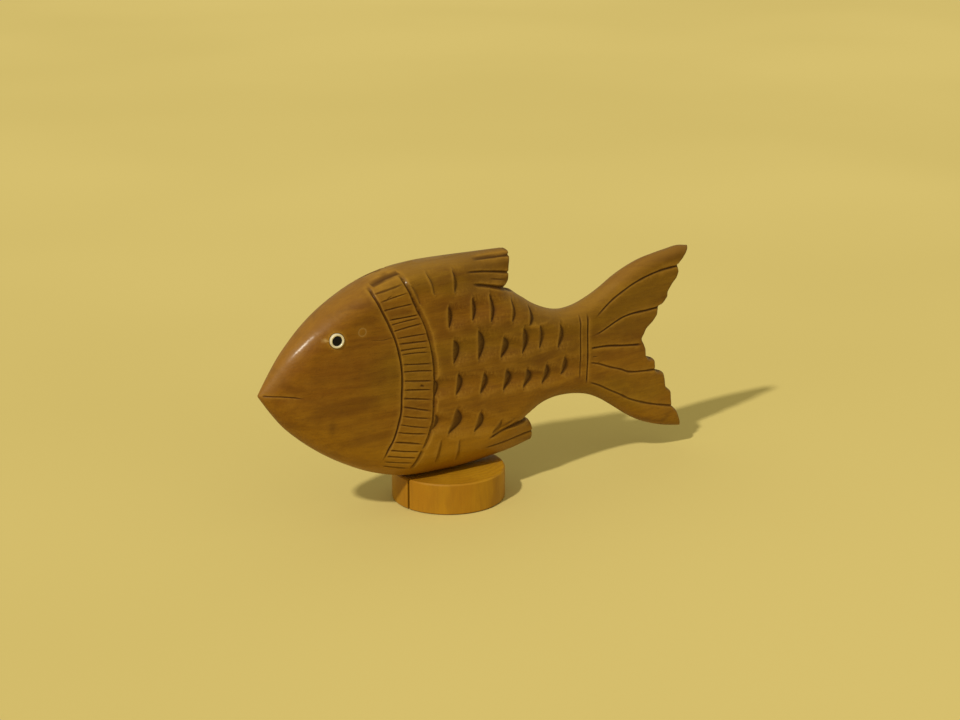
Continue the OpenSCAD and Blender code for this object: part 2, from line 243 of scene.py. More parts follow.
def stand_wood():
    """Yellow wood cut across a branch: rings, upright fibres and a painted contact shadow along its
    foot.
    """
    p = Paint("stand_wood")
    ring_place = p.stretched((1, 1, 0))
    wander = p.noise((30, 30, 12), 3, 0.55)
    middle = p.tree.nodes.new("ShaderNodeVectorMath")
    middle.operation = "DISTANCE"
    p.set(middle.inputs[0], ring_place)
    middle.inputs[1].default_value = (0.006, 0.009, 0)
    radius = p.math("ADD", middle.outputs["Value"], p.math("MULTIPLY", wander, 0.012))
    ring = p.span(p.math("SINE", p.math("MULTIPLY", radius, 1900)), -0.2, 1.0)
    fibre = p.noise((520, 520, 45), 4, 0.6)
    patch = p.noise((26, 26, 14), 3, 0.55)
    colour = p.mix(p.span(patch, 0.3, 0.7), (0.33, 0.145, 0.0060), (0.43, 0.215, 0.0070))
    colour = p.mix(p.math("MULTIPLY", ring, 0.22), colour, (0.22, 0.090, 0.005))
    colour = p.mix(p.span(fibre, 0.4, 0.75, 0.0, 0.30), colour, (0.23, 0.095, 0.005))
    # Painted contact shadow along the foot, where the stand meets the floor
    painted_foot_shadow = p.span(p.axis("Z"), 0.0012, 0.0, 0.0, 0.7)
    colour = p.mix(painted_foot_shadow, colour, (0.10, 0.040, 0.003))
    rough = p.span(patch, 0.25, 0.75, 0.42, 0.6)
    normal = p.bump(p.math("ADD", fibre, p.math("MULTIPLY", ring, 0.3)), 0.28, 0.0003)
    return p.finish(Base_Color=colour, Roughness=rough, Normal=normal, Coat_Weight=0.1,
                    Coat_Roughness=0.22, Specular_IOR_Level=0.2)


def eye_white():
    """Ivory-coloured ring with a faint mottle."""
    p = Paint("eye_white")
    patch = p.noise((900, 900, 900), 3, 0.6)
    colour = p.mix(p.span(patch, 0.35, 0.7), (0.74, 0.68, 0.52), (0.58, 0.51, 0.36))
    rough = p.span(patch, 0.3, 0.7, 0.22, 0.4)
    normal = p.bump(patch, 0.15, 0.00015)
    return p.finish(Base_Color=colour, Roughness=rough, Normal=normal, Coat_Weight=0.4,
                    Coat_Roughness=0.1)


def eye_black():
    """Dark glossy dome with a trace of dust."""
    p = Paint("eye_black")
    dust = p.noise((1600, 1600, 1600), 3, 0.65)
    colour = p.mix(p.span(dust, 0.5, 0.8, 0.0, 0.35), (0.003, 0.003, 0.005), (0.014, 0.013, 0.012))
    rough = p.span(dust, 0.3, 0.8, 0.12, 0.34)
    normal = p.bump(dust, 0.1, 0.0001)
    return p.finish(Base_Color=colour, Roughness=rough, Normal=normal, Coat_Weight=0.05,
                    Coat_Roughness=0.06, Specular_IOR_Level=0.15)


def screw_steel():
    """Zinc-plated steel, dull and turned."""
    p = Paint("screw_steel")
    patch = p.noise((400, 400, 400), 4, 0.6)
    turned = p.noise((500, 500, 6000), 2, 0.5)
    colour = p.mix(p.span(patch, 0.3, 0.7), (0.42, 0.41, 0.39), (0.62, 0.61, 0.58))
    rough = p.span(patch, 0.2, 0.8, 0.28, 0.5)
    normal = p.bump(turned, 0.25, 0.0001)
    return p.finish(Base_Color=colour, Metallic=1.0, Roughness=rough, Normal=normal)


def floor_paper():
    """Plain pale paper with a very faint mottle."""
    p = Paint("floor_paper")
    broad = p.noise((1.4, 1.4, 1.4), 2, 0.5)
    fine = p.noise((700, 700, 700), 2, 0.5)
    colour = p.mix(p.span(broad, 0.3, 0.7), (0.61, 0.495, 0.175), (0.65, 0.53, 0.195))
    normal = p.bump(fine, 0.08, 0.0002)
    return p.finish(Base_Color=colour, Roughness=0.85, Normal=normal)


def add_floor(material):
    data = bpy.data.meshes.new("floor")
    h = FLOOR_HALF
    data.from_pydata([(-h, -h, 0), (h, -h, 0), (h, h, 0), (-h, h, 0)], [], [(0, 1, 2, 3)])
    data.materials.append(material)
    floor = bpy.data.objects.new("floor", data)
    bpy.context.scene.collection.objects.link(floor)


# ---- the fish's outline, as [x, height above the belly] ----
BELLY_REST = 19.0
BACK_LINE = [(-124, 65.8), (-118, 74.4), (-110, 85.2), (-100, 95.8), (-90, 104.2), (-80, 111),
             (-70, 116.5), (-55, 123), (-40, 126.9), (-20, 129.1), (0, 129.5), (20, 129.5), (38, 129.3)]
DORSAL_REAR = [(38, 129.3), (39.1, 128.9), (39.9, 127.4), (39.6, 123.5), (38.8, 117.5), (38, 112),
               (37.7, 107.2)]
REAR_BACK_LINE = [(37.7, 107.2), (50, 98.4), (60, 92.2), (70, 87.5), (80, 85.4), (90, 86.3),
                  (100, 89.6), (110, 94.5), (120, 100.6), (130, 105.4), (140, 108.9), (150, 111),
                  (160, 112.7), (168, 113.8), (175.6, 112.9)]
TAIL_EDGE = [(175.6, 112.9), (173.6, 108.5), (170.8, 105), (167.2, 101.5), (168, 97.5), (166.3, 93.4),
             (162.7, 90), (159.2, 85.5), (159, 82.5), (155.2, 78.5), (151.5, 76.4), (150.7, 72),
             (147.2, 68), (142, 64.2), (140.2, 61), (138.6, 58.8), (140.2, 56), (142, 52),
             (142.4, 47.5), (144.6, 45), (149.6, 43.3), (150.3, 39), (150.8, 35.8), (157.2, 33.3),
             (158.8, 29), (159.9, 23.5), (164.2, 19.6), (164.9, 14.5), (165.7, 9.5), (169.8, 5),
             (172.2, -0.5), (173.6, -6.2)]
REAR_BELLY_LINE = [(53, 23.2), (60, 27.4), (70, 30.4), (80, 31), (90, 30.1), (100, 27.7), (110, 23),
                   (120, 16.4), (130, 9.4), (140, 3.6), (150, -0.5), (160, -3.5), (173.6, -6.2)]
ANAL_REAR = [(53, 23.2), (54.5, 19.2), (55.9, 14.8), (56.4, 9.4), (55.9, 6.9), (54.6, 6)]
BELLY_LINE = [(-124, 64.2), (-118, 55.3), (-110, 44.8), (-100, 35), (-90, 26.9), (-80, 20),
              (-70, 14.2), (-60, 9.2), (-50, 5.3), (-40, 2.5), (-28, 0.5), (-16, 0), (0, 0.1),
              (12, 0.8), (25, 1.8), (35, 2.6), (45, 4), (54.6, 6)]
OUTLINE_STEP = 0.8

# ---- the fish's thickness ----
HALF_ALONG_X = [(-124, 2.2), (-118, 6), (-110, 9.4), (-100, 12.2), (-88, 14.4), (-72, 16.2),
                (-50, 17.5), (-20, 18), (20, 17.6), (45, 15.6), (70, 12.4), (90, 10.3),
                (110, 9.2), (130, 7.8), (150, 6), (175, 3.4)]
DORSAL_THINNING = 0.5
ANAL_THINNING = 0.42
BACK_ROUNDING = 12.0
BELLY_ROUNDING = 17.0
# Where the fish is thin, a rounding is narrower: this share of the half thickness, plus the extra
ROUNDING_SHARE = 0.95
ROUNDING_EXTRA = 1
CUT_ROUNDING = 2.4
# How sharply two roundings meet: a larger number gives a sharper ridge.
RIDGE_SHARPNESS = 9.0


def ease(value, low, high):
    t = np.clip((value - low) / (high - low), 0, 1)
    return t * t * (3 - 2 * t)


def line_at(knots, x):
    """Smooth height of a line of knots at x."""
    p = np.array(knots, float)
    widths = np.diff(p[:, 0])
    rises = np.diff(p[:, 1]) / widths
    slopes = np.empty(len(p))
    slopes[0], slopes[-1] = rises[0], rises[-1]
    slopes[1:-1] = (rises[:-1] * widths[1:] + rises[1:] * widths[:-1]) / (widths[:-1] + widths[1:])
    i = np.clip(np.searchsorted(p[:, 0], x, side="right") - 1, 0, len(p) - 2)
    w = widths[i]
    t = (x - p[i, 0]) / w
    return (p[i, 1] * (1 + t * t * (2 * t - 3)) + slopes[i] * w * t * (1 - t) ** 2
            + p[i + 1, 1] * t * t * (3 - 2 * t) - slopes[i + 1] * w * t * t * (1 - t))


def along_x(knots, step):
    """Points on a smooth line of knots whose x grows."""
    first, last = knots[0][0], knots[-1][0]
    fine = np.linspace(first, last, 2000)
    heights = line_at(knots, fine)
    travel = np.concatenate([[0], np.cumsum(np.hypot(np.diff(fine), np.diff(heights)))])
    count = max(3, int(travel[-1] / step))
    x = np.interp(np.linspace(0, travel[-1], count), travel, fine)
    return np.stack([x, line_at(knots, x)], 1)


def curve_through(points, step, softness=1.0):
    """Points about step apart through the given points: straight lines at 0, a smooth curve at 1."""
    p = np.array(points, float)
    ends = np.vstack([2 * p[0] - p[1], p, 2 * p[-1] - p[-2]])
    parts = []
    for a, b, c, d in zip(ends, ends[1:], ends[2:], ends[3:]):
        count = max(1, round(np.hypot(*(c - b)) / step))
        t = np.linspace(0, 1, count, endpoint=False)[:, None]
        smooth = 0.5 * (2 * b + (c - a) * t + (2 * a - 5 * b + 4 * c - d) * t ** 2
                        + (3 * b - a - 3 * c + d) * t ** 3)
        parts.append(b + (c - b) * t + softness * (smooth - b - (c - b) * t))
    return np.vstack(parts + [p[-1:]])


def near(points, line):
    """Distance to a line, how far along it the nearest place is, and 1 on its left, -1 right."""
    best = np.full(len(points), np.inf)
    along = np.zeros(len(points))
    side = np.ones(len(points))
    start = 0.0
    for a, b in zip(line, line[1:]):
        step = b - a
        length = np.hypot(*step)
        t = np.clip(((points - a) @ step) / length ** 2, 0, 1)
        gap = points - a - t[:, None] * step
        distance = np.hypot(gap[:, 0], gap[:, 1])
        closer = distance < best
        best[closer] = distance[closer]
        along[closer] = start + t[closer] * length
        side[closer] = np.where(step[0] * gap[closer, 1] - step[1] * gap[closer, 0] >= 0, 1, -1)
        start += length
    return best, along, side


back = along_x(BACK_LINE, OUTLINE_STEP)
rear_back = along_x(REAR_BACK_LINE, OUTLINE_STEP)
rear_belly = along_x(REAR_BELLY_LINE, OUTLINE_STEP)
belly = along_x(BELLY_LINE, OUTLINE_STEP)
dorsal_rear = curve_through(DORSAL_REAR, OUTLINE_STEP)
anal_rear = curve_through(ANAL_REAR, OUTLINE_STEP)
tail_edge = curve_through(TAIL_EDGE, OUTLINE_STEP, 0.45)
outline = np.vstack([back[:-1], dorsal_rear[:-1], rear_back[:-1], tail_edge[:-1],
                     rear_belly[::-1][:-1], anal_rear[:-1], belly[::-1]])


def is_inside(points, polygon):
    inside = np.zeros(len(points), bool)
    for a, b in zip(polygon, np.roll(polygon, -1, axis=0)):
        crosses = (a[1] > points[:, 1]) != (b[1] > points[:, 1])
        if a[1] != b[1]:
            at = a[0] + (points[:, 1] - a[1]) / (b[1] - a[1]) * (b[0] - a[0])
            inside ^= crosses & (points[:, 0] < at)
    return inside


def edge_distances(points):
    """Distances to the rounded back, the rounded belly and the cut edges."""
    upper = np.minimum(near(points, back)[0], near(points, rear_back)[0])
    lower = np.minimum(near(points, belly)[0], near(points, rear_belly)[0])
    cut = np.minimum(near(points, dorsal_rear)[0],
                     np.minimum(near(points, anal_rear)[0], near(points, tail_edge)[0]))
    return upper, lower, cut


def half_thickness(points, distances):
    """Half thickness of the uncarved fish."""
    x, h = points[:, 0], points[:, 1]
    dorsal = ease(x, -20, 40) * ease(h, 93, 121) * (1 - ease(x, 50, 60))
    anal = ease(x, 15, 56) * ease(h, 27, 11) * (1 - ease(x, 62, 70))
    full = line_at(HALF_ALONG_X, x) * (1 - DORSAL_THINNING * dorsal) * (1 - ANAL_THINNING * anal)
    wide = BELLY_ROUNDING + (BACK_ROUNDING - BELLY_ROUNDING) * ease(h, 40, 90)
    wide = np.minimum(wide, ROUNDING_SHARE * full + ROUNDING_EXTRA)
    upper, lower, cut = distances
    shares = np.stack([upper / wide, lower / wide, cut / CUT_ROUNDING])
    q = -np.log(np.exp(-RIDGE_SHARPNESS * np.minimum(shares, 3)).sum(0)) / RIDGE_SHARPNESS
    q = np.clip(q, 0, 1)
    return full * np.sqrt(1 - (1 - q) ** 2)


# ---- what is carved into each side ----
# A groove follows points. Its width and depth are given at the start, and growth multiplies both
# by its end. lean is the share of the width on its left, and fades are the lengths over which it
# comes in and goes out. dark is how dark its bottom is, stain with painted shade, and left_dark the
# share of that on its left, so that the painted shade can fall on one wall only.
Groove = namedtuple("Groove", "points width depth growth lean fade_in fade_out dark left_dark")
Groove.__new__.__defaults__ = (1.0, 0.5, 3.0, 3.0, 1.0, 1.0)
# A scale cut: a sloping wall from the scale's straight edge down to an arc, then a long ramp up.
Scale = namedtuple("Scale", "top bulge bottom depth")

GILL_FRONT = [(-57, 121), (-57.2, 117), (-54, 109), (-49.5, 100), (-45.5, 90.5), (-43, 82),
              (-41.5, 73.5), (-41, 64.5), (-41.5, 54.5), (-42, 45.5), (-44, 38), (-47, 30),
              (-51, 23.5), (-54, 17.5)]
GILL_REAR = [(-37.2, 126.3), (-37.2, 122), (-34, 113.5), (-30, 105), (-26, 97), (-23, 88.5),
             (-21, 79.5), (-19.5, 69.5), (-19.5, 58), (-20, 46), (-21, 36), (-23.5, 28.5),
             (-26, 23.5), (-28.5, 20)]
GILL_REAR_LOW = [(-28, 20.5), (-31.5, 15), (-35.5, 8.5)]
RUNG_LEFT = [117.5, 113, 108, 102, 99, 95, 90.5, 87, 83, 80.5, 74.5, 70, 64.5, 59, 54, 49,
             43.5, 38.5, 34, 28.5, 24, 20.5, 17, 14]
RUNG_RIGHT = [121.5, 116.5, 109.5, 102.5, 100.5, 97, 90.5, 86, 82, 79, 72, 67.5, 61.5, 56,
              50, 43, 38.5, 33, 29.5, 23.5, 19.5, 16, 13, 9.5]
SCALES = [
    ((-34.5, 120), (-30.5, 115), (-29, 108), 0.9),
    ((-22.5, 125.5), (-20.2, 120.5), (-19.3, 112.5), 1.1), ((-5, 124.5), (-2.6, 118), (-5.5, 112), 1.6),
    ((-10, 104.5), (-6.8, 98), (-10, 91.5), 2.0), ((7, 107), (10, 100), (6, 93.5), 2.2),
    ((20, 107), (23.6, 97.5), (19, 90.5), 2.3), ((36, 101.5), (38.2, 94), (34.5, 88), 1.7),
    ((50, 95.5), (53, 89), (47.5, 83.5), 2.0),
    ((-7, 84), (-1.6, 77), (-7, 69.5), 2.2), ((10, 87), (16, 78), (10, 69), 2.4),
    ((28, 80), (33.5, 74), (26, 67.5), 2.3), ((43, 83), (48, 75), (42, 67), 2.2),
    ((56, 82), (59.5, 75), (55.5, 67.5), 1.9), ((72.5, 80), (75.6, 73), (70, 65.5), 1.8),
    ((-20.5, 62), (-16.6, 58), (-20.5, 50.5), 1.8), ((-4, 63), (0.2, 56.5), (-5.5, 50), 2.1),
    ((14, 60.5), (17.8, 55), (11.5, 48), 2.2), ((30, 59.5), (35.3, 54), (28, 47), 2.4),
    ((45.5, 57), (50.8, 52), (43, 45.5), 2.2), ((61, 57), (64.8, 51.5), (57.5, 45), 2.0),
    ((75.5, 59), (78.8, 53.5), (72.5, 47.5), 1.8),
    ((-20, 41), (-16.6, 36), (-22.5, 31), 1.6), ((-5, 42), (-0.2, 34), (-11, 27), 2.1),
    ((11.5, 37), (14.8, 30.5), (7, 25), 1.9), ((27, 29), (27, 25.5), (20, 21.5), 1.2),
    ((-15.5, 24), (-16, 17), (-19.5, 10), 0.9), ((-3, 22), (-2.6, 15.5), (-5, 8), 0.8)]
# Every scale cut's depth is multiplied by this
CUT_DEEPENING = 1.2
# A scale's wall is as wide as its bulge, plus this much in the middle, plus a little everywhere
WALL_EXTRA = 0.7
SMALLEST_WALL = 0.05
# The ramp behind a scale: its length, its spread past the arc's ends, and how it curves up
RAMP_LENGTH = 15.0
SCOOP_SPREAD = 1.32
SCOOP_POWER = 1.5
RAMP_POWER = 1.4
# Painted shade on a scale cut: how dark its wall is at the top, and how dark and wide the painted
# shadow line at its foot is
WALL_TOP_DARKNESS = 0.30
FOOT_DARKNESS = 0.9
FOOT_WIDTH = 0.7
# A groove's width wavers along it, by a share and over a length, once slowly and once quickly
SLOW_WAVER = (0.10, 3.1)
QUICK_WAVER = (0.07, 1.3)
# A scale cut this deep is as dark as a cut can be, in stain and painted shade
FULL_DARK_DEPTH = 2.0

EYE_PLACE = (-81.5, 94.5)
EYE_RADIUS = 4.3
EYE_SOCKET_DEPTH = 1.6
EYE_DISH_DEPTH = 0.22
EYE_EDGE_DARKNESS = 0.8
# A small ring scored into the head, behind the eye
RING_MARK = (-66.0, 97.5)
RING_MARK_RADIUS = 2.3
RING_MARK_DEPTH = 0.12
RING_MARK_PALENESS = 0.30
# A pale scratch that runs up to the eye
SCRATCH = [(-92, 95.9), (-88, 95.2), (-85.9, 94.9)]
SCRATCH_PALENESS = 0.75
# A soft dark smudge low on the cheek, and how wide and high it is
SMUDGE = (-85.5, 43.5)
SMUDGE_SIZE = (2.2, 4.0)
SMUDGE_DARKNESS = 0.42
CUT_EDGE_DARKNESS = 0.38
# The band of painted sheen, with lighter wood, along the back reaches this far down
SHEEN_BAND_WIDTH = 7
# The surface's unevenness: (depth, length of its waves, seed) twice
BROAD_WAVES = (0.16, 26, 5)
SHORT_WAVES = (0.05, 9, 8)
WAVES_SHARE = 0.4
# A cut's raised edge gets its full painted highlight when it stands this far above its smoothed
# surroundings
EDGE_HIGHLIGHT_HEIGHT = 0.16
EDGE_HIGHLIGHT_ROUNDS = 4


def gill_x(line, height):
    points = np.array(line)[::-1]
    return np.interp(height, points[:, 1], points[:, 0])


def rungs(side):
    """Short cuts across the band behind the head."""
    wobble = np.random.default_rng(40 + side)
    cuts = []
    for left, right in zip(RUNG_LEFT, RUNG_RIGHT):
        shift = 0.0 if side == LEFT else wobble.uniform(-0.6, 0.6)
        start = (gill_x(GILL_FRONT, left) + 0.7, left + shift)
        end = (gill_x(GILL_REAR + GILL_REAR_LOW[1:], right) - 1.0, right + shift)
        bend = wobble.uniform(-0.35, 0.35)
        middle = ((start[0] + end[0]) / 2, (start[1] + end[1]) / 2 + bend)
        cuts.append(Groove([start, middle, end], wobble.uniform(1.0, 1.4), wobble.uniform(0.5, 0.85),
                           1.0, 0.5, wobble.uniform(1.5, 4), wobble.uniform(2.5, 6), 0.8))
    return cuts


def fixed_grooves():
    """Every other groove: gills, mouth, fins, tail root and tail rays."""
    return [
        Groove(GILL_FRONT, 1.9, 1.1, 1.0, 0.5, 2, 8, 0.95),
        Groove(GILL_REAR, 3.6, 1.3, 1.0, 0.62, 3, 4, 1.0, 0.35),
        Groove(GILL_REAR_LOW, 3.4, 0.8, 0.8, 0.6, 2, 3, 0.75),
        Groove([(-122.5, 65.4), (-114, 65), (-107, 64), (-100.5, 62.5)],
               1.1, 0.6, 0.8, 0.5, 0.5, 6, 0.95),
        Groove([(11.5, 127.3), (24, 126.9), (41, 126.3)], 1.6, 0.8, 1.5, 0.5, 5, 0, 0.9),
        Groove([(3.5, 122), (18, 120), (36, 116.5), (42, 115.2)], 1.5, 0.7, 1.4, 0.5, 5, 0, 0.85),
        Groove([(22, 115), (34.5, 112.5)], 1.1, 0.4, 1.0, 0.5, 4, 4, 0.6),
        Groove([(7.5, 114.5), (22, 111), (38, 106.5), (41, 105.5)], 1.7, 0.9, 2.3, 0.4, 6, 0, 0.95),
        Groove([(17, 18.3), (35, 22.3), (47, 23.2), (56, 23.4)], 1.7, 0.8, 3.2, 0.70, 5, 0, 1.0),
        Groove([(20, 21.5), (31, 25), (40, 28.5)], 2.2, 0.35, 0.9, 0.6, 6, 8, 0.5),
        Groove([(14.5, 13.2), (33.5, 13.3), (50, 14.2), (59, 14.6)], 1.4, 0.6, 1.5, 0.5, 6, 0, 0.9),
        Groove([(88.3, 83), (88.2, 70), (88.6, 55), (88, 41.5)], 1.5, 0.75, 1.0, 0.5, 4, 5, 0.85),
        Groove([(94, 83), (93.8, 69.5), (94.2, 55), (93.4, 37.5)], 1.7, 0.85, 1.0, 0.5, 5, 4, 0.95),
        Groove([(99, 78.5), (103, 81.5), (108.5, 85.5), (114, 89), (121, 92.5), (129, 96),
                (140, 99), (152.5, 101), (170, 101.7)], 1.4, 0.7, 1.5, 0.5, 9, 0, 1.0),
        Groove([(97, 68), (103, 69), (109.5, 71.5), (115.5, 74), (122, 76), (130, 77),
                (140, 77), (155, 77.6)], 1.3, 0.7, 1.6, 0.5, 10, 0, 1.0),
        Groove([(96.5, 60), (108.5, 59.5), (122, 57.5), (137, 55.5)], 1.8, 0.9, 1.0, 0.5, 2, 4, 1.0),
        Groove([(96, 51), (103, 49), (111.5, 45.5), (120, 42.5), (127, 39.5), (136.5, 38),
                (148, 37), (154, 36.8)], 1.4, 0.65, 1.3, 0.5, 3, 0, 0.85),
        Groove([(95.5, 38.5), (103.5, 35), (111.5, 30.5), (121, 25.5), (128, 21.5), (136.5, 18),
                (145, 15), (153.5, 12.5), (168, 8.6)], 1.5, 0.65, 1.2, 0.5, 4, 0, 0.85),
        Groove([(-55.5, 121.3), (-46, 124.4), (-37.2, 126.2)], 1.7, 0.9, 1.0, 0.5, 0.5, 0.5, 0.95),
        # Slips of the knife
        Groove([(-51.5, 113.3), (-48.5, 115.2), (-46.5, 116)], 0.9, 0.3, 1.0, 0.5, 1, 1.5, 0.6),
        Groove([(-29.5, 60.2), (-26.5, 59)], 1.4, 0.5, 1.0, 0.5, 1, 1, 0.9),
        Groove([(99, 49.5), (104, 50.2)], 1.0, 0.3, 1.0, 0.5, 1, 2, 0.5),
        Groove([(97.5, 54.5), (102, 54)], 0.9, 0.3, 1.0, 0.5, 1, 2, 0.5),
        Groove([(-61, 92), (-54, 91), (-46.5, 91.5)], 0.8, 0.12, 1.0, 0.5, 3, 3, 0.5),
    ]


def scale_cuts(side):
    """The scale cuts, a little differently placed on the far side."""
    wobble = np.random.default_rng(90 + side)
    cuts = []
    for top, bulge, bottom, depth in SCALES:
        shift = np.zeros(2) if side == LEFT else wobble.uniform(-0.9, 0.9, 2)
        places = [np.array(place) + shift for place in (top, bulge, bottom)]
        cuts.append(Scale(*places, depth))
    return cuts


def scale_frame(cut, points):
    """Place along a scale's arc from -1 to 1, distance past the arc, and the arc's bulge there."""
    middle = (cut.top + cut.bottom) / 2
    chord = cut.top - cut.bottom
    half = np.hypot(*chord) / 2
    up = chord / (2 * half)
    out = np.array([up[1], -up[0]])
    peak = (cut.bulge - middle) @ up / half
    skew = float(np.clip(1.3 * peak, -0.75, 0.75))
    height = (cut.bulge - middle) @ out / ((1 - peak ** 2) * (1 + skew * peak))
    v = (points - middle) @ up / half
    bulge = height * np.clip(1 - v ** 2, 0, 1) * (1 + skew * v)
    return v, (points - middle) @ out - bulge, np.maximum(bulge, 0)


def carve(points, grooves, cuts):
    """Carved depth at each point, and how dark the cut looks there: stain in the cuts, with painted
    shade on the scale walls and a painted shadow line at their feet.
    """
    depth = np.zeros(len(points))
    dark = np.zeros(len(points))
    for cut in cuts:
        v, past, bulge = scale_frame(cut, points)
        across = np.clip(1 - v ** 2, 0, 1)
        wall = bulge + WALL_EXTRA * across + SMALLEST_WALL
        down = np.clip(1 + past / wall, 0, 1)
        ramp = np.clip(1 - past / RAMP_LENGTH, 0, 1)
        scoop = np.clip(1 - (v / SCOOP_SPREAD) ** 2, 0, 1) ** SCOOP_POWER
        on_wall = (past <= 0) & (np.abs(v) < 1)
        on_ramp = (past > 0) & (past < RAMP_LENGTH) & (np.abs(v) < SCOOP_SPREAD)
        profile = np.where(on_wall, across ** 0.5 * down, 0)
        rise = ramp ** RAMP_POWER * np.minimum(scoop, across ** 0.5 + past / 6)
        profile = np.where(on_ramp, rise, profile)
        depth = np.maximum(depth, CUT_DEEPENING * cut.depth * profile)
        strength = min(1.0, cut.depth / FULL_DARK_DEPTH)
        # Painted shade: a scale's wall darkens towards its foot, and a painted shadow line runs along
        # the foot of the ramp
        wall_shade = WALL_TOP_DARKNESS + (1 - WALL_TOP_DARKNESS) * down
        foot_shade = FOOT_DARKNESS * np.exp(-np.abs(past) / FOOT_WIDTH)
        ends = ease(across, 0, 0.4)
        shade = np.where(on_wall, wall_shade * ease(down, 0, 0.16) * ends, 0)
        shade = np.where(on_ramp, foot_shade * ends, shade)
        dark = np.maximum(dark, strength * shade)
    for number, groove in enumerate(grooves):
        line = curve_through(groove.points, 1.0)
        reach = groove.width * max(1.0, groove.growth) + 0.5
        low, high = line.min(0) - reach, line.max(0) + reach
        close = np.all((points > low) & (points < high), axis=1)
        if not close.any():
            continue
        distance, along, side = near(points[close], line)
        length = np.hypot(*np.diff(line, axis=0).T).sum()
        grown = 1 + (groove.growth - 1) * along / length
        slow = SLOW_WAVER[0] * np.sin(along / SLOW_WAVER[1] + number)
        quick = QUICK_WAVER[0] * np.sin(along / QUICK_WAVER[1] + 2 * number)
        uneven = 1 + slow + quick
        share = np.where(side > 0, groove.lean, 1 - groove.lean)
        wall = np.maximum(groove.width * grown * share * uneven, 0.05)
        fade = ease(along, -0.01, groove.fade_in) * ease(length - along, -0.01, groove.fade_out + 0.01)
        profile = np.clip(1 - distance / wall, 0, 1)
        depth[close] = np.maximum(depth[close], groove.depth * grown * fade * profile)
        # Stain with painted shade at the groove's bottom; left_dark takes some of the painted shade off
        # its left wall
        shade = groove.dark * fade ** 0.7 * profile ** 0.55
        shade *= np.where(side > 0, groove.left_dark, 1.0)
        dark[close] = np.maximum(dark[close], shade)
    return depth, dark


def ripple(points, length, seed):
    """A smooth, seeded unevenness from about -1 to 1 with waves about length long."""
    chance = np.random.default_rng(seed)
    total = np.zeros(len(points))
    for _ in range(7):
        angle, phase = chance.uniform(0, 2 * math.pi, 2)
        pace = 2 * math.pi / (length * chance.uniform(0.7, 1.5))
        total += np.sin(pace * (points @ [math.cos(angle), math.sin(angle)]) + phase)
    return total / 3


# ---- the mesh of one side ----
# Steps of the three grids of points, the finest at the cuts' edges
COARSE, MEDIUM, FINE = 1.45, 0.7, 0.34
# Rows of points round the eye, from its edge, and inside the outline, from the outline
EYE_ROWS = (-0.35, -0.1, 0.1, 0.45, 0.9)
EYE_ROW_POINTS = 72
RIM_ROWS = (0.12, 0.36, 0.75, 1.25, 1.9, 2.6)
# Rows beside a groove: the step along them, and how far past its edges the last ones lie
GROOVE_ROW_STEP = 0.55
GROOVE_BANK = 0.35
# Points that share a cell of this size are thinned to one
SMALLEST_GAP = 0.17


def grid(low, high, step, seed):
    """A slightly shaken square grid of points."""
    xs = np.arange(low[0], high[0], step)
    hs = np.arange(low[1], high[1], step)
    points = np.stack(np.meshgrid(xs, hs), -1).reshape(-1, 2)
    return points + np.random.default_rng(seed).uniform(-0.12, 0.12, points.shape) * step


def rows_along(line, offsets, step):
    """Points beside a line, at the given offsets from it."""
    points = curve_through(line, step)
    ahead = np.gradient(points, axis=0)
    across = np.stack([-ahead[:, 1], ahead[:, 0]], 1) / np.hypot(ahead[:, 0], ahead[:, 1])[:, None]
    return np.vstack([points + offset * across for offset in offsets])


def thinned(points, gap):
    """Drops points that share a cell of the given size."""
    cells = np.round(points / gap).astype(np.int64)
    _, kept = np.unique(cells, axis=0, return_index=True)
    return points[np.sort(kept)]


def side_points(side, grooves, cuts):
    """Points inside the outline, dense where the surface turns or is cut."""
    low, high = outline.min(0), outline.max(0)
    parts = []
    for groove in grooves:
        reach = groove.width * max(1.0, (1 + groove.growth) / 2)
        left, right = reach * groove.lean, reach * (1 - groove.lean)
        offsets = [0, left / 2, left, left + GROOVE_BANK, -right / 2, -right, -right - GROOVE_BANK]
        parts.append(rows_along(groove.points, offsets, GROOVE_ROW_STEP))
    turn = np.linspace(0, 2 * math.pi, EYE_ROW_POINTS, endpoint=False)
    circle = np.stack([np.cos(turn), np.sin(turn)], 1)
    for offset in EYE_ROWS:
        parts.append(np.array(EYE_PLACE) + (EYE_RADIUS + offset) * circle)
    rows = np.vstack(parts)
    fine = grid(low, high, FINE, 1 + side)
    ring = np.hypot(*(fine - RING_MARK).T)
    wanted = np.abs(ring - RING_MARK_RADIUS) < 0.6
    medium = grid(low, high, MEDIUM, 11 + side)
    scaly = np.zeros(len(medium), bool)
    for cut in cuts:
        v, past, _ = scale_frame(cut, fine)
        wanted |= (np.abs(v) < 1.04) & (np.abs(past) < 0.5)
        v, past, bulge = scale_frame(cut, medium)
        scaly |= (np.abs(v) < SCOOP_SPREAD + 0.1) & (past > -bulge - 1.6) & (past < RAMP_LENGTH + 1)
    coarse = grid(low, high, COARSE, 21 + side)
    taken = in_filled_cells(coarse, medium[scaly])
    points = np.vstack([rows, fine[wanted], medium[scaly], coarse[~taken]])
    points = points[is_inside(points, outline)]
    gap = near(points, np.vstack([outline, outline[:1]]))[0]
    points = points[gap > RIM_ROWS[-1]]
    rims = [rim_row(offset, 0.8 if offset < 1 else 0.95) for offset in RIM_ROWS]
    return thinned(np.vstack(rims + [points]), SMALLEST_GAP)


def in_filled_cells(points, finer):
    """True for points in a coarse cell that finer points already fill."""
    cells = {tuple(cell) for cell in np.floor(finer / COARSE).astype(int)}
    return np.array([tuple(cell) in cells for cell in np.floor(points / COARSE).astype(int)])


